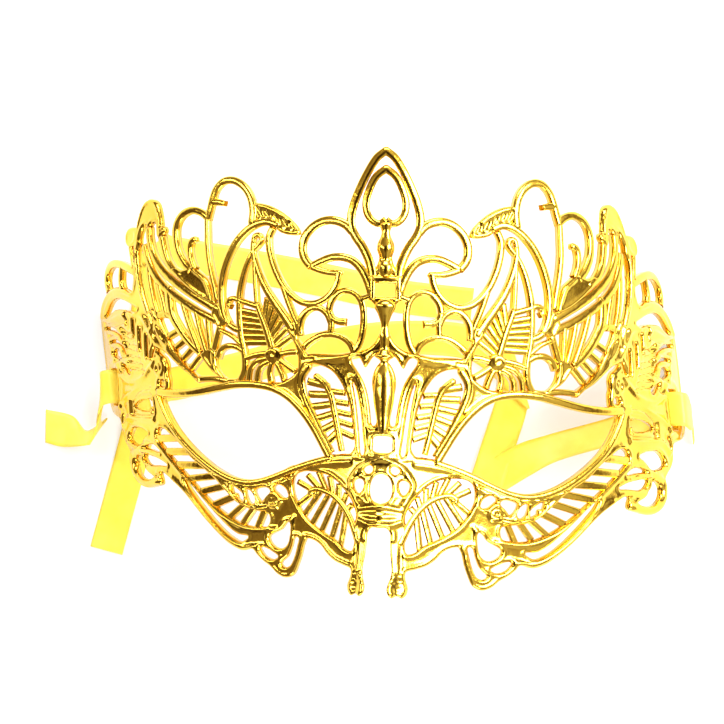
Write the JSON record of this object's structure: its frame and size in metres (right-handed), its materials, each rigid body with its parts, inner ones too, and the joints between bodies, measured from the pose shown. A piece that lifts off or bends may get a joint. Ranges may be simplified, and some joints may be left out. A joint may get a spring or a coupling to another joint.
{
  "type": "filigree masquerade mask",
  "caption": "Gilt filigree eye mask with a pointed finial, pierced wings and a ribbon through each temple slot, lying face up.",
  "frame": {"origin": "on the floor under the middle of the object's box, ribbons included", "axes": "+X across the face to the picture's right, +Y up the face to the finial, +Z out of the face, up from the floor"},
  "size_m": [0.1946, 0.1252, 0.0801],
  "materials": {
    "gilt": "bright gold plating",
    "satin": "satin ribbon"
  },
  "bodies": {
    "root": {"mask": "gilt", "ribbon_left": "satin", "ribbon_right": "satin"}
  },
  "joints": []
}
